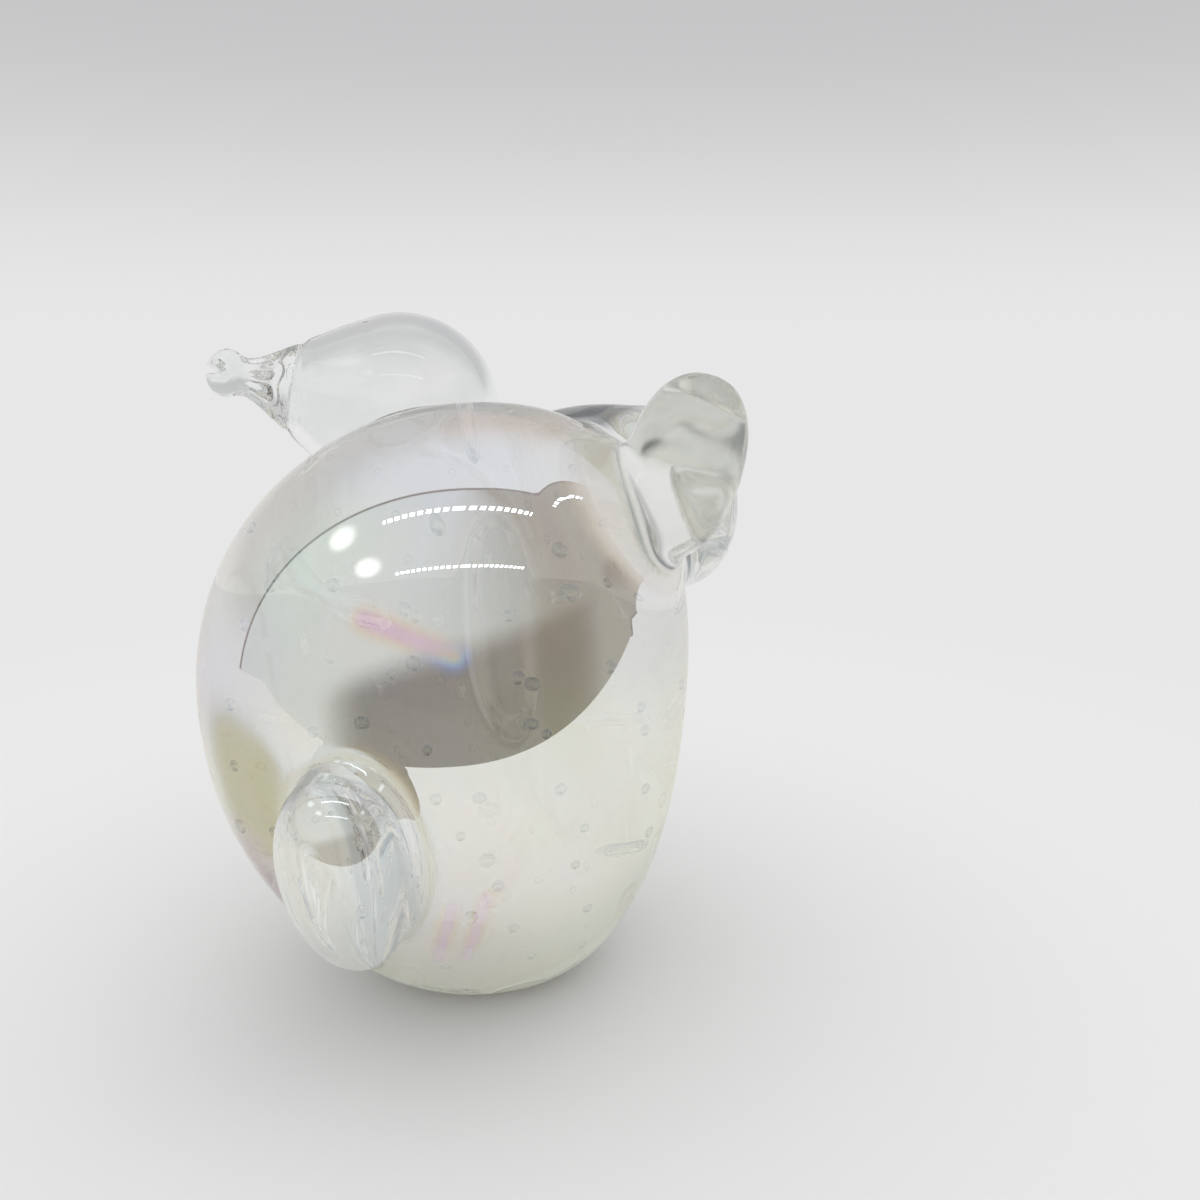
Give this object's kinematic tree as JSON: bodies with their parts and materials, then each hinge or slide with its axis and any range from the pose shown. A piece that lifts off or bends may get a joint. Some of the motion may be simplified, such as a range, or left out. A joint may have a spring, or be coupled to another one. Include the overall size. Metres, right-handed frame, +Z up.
{
  "type": "glass rabbit figurine",
  "caption": "Solid hot-worked glass rabbit ornament: a lustred, bubble-filled egg body with a clear fused head turned aside, laid-back ears and a drop tail, on a flat ground base.",
  "frame": {"origin": "middle of the flat ground base", "axes": "+Z up from the base, +Y the rabbit's tail end, +X its left side, to which the head is turned"},
  "size_m": [0.0909, 0.096, 0.107],
  "materials": {
    "lustre_glass": "fire-polished clear glass with a faint pearly iridescent lustre, ground flat underneath",
    "clear_glass": "fire-polished clear glass"
  },
  "bodies": {
    "root": {"body_casing": "lustre_glass", "body_core": "clear_glass", "head": "clear_glass", "ear_left": "clear_glass", "ear_right": "clear_glass", "tail": "clear_glass"}
  },
  "joints": []
}
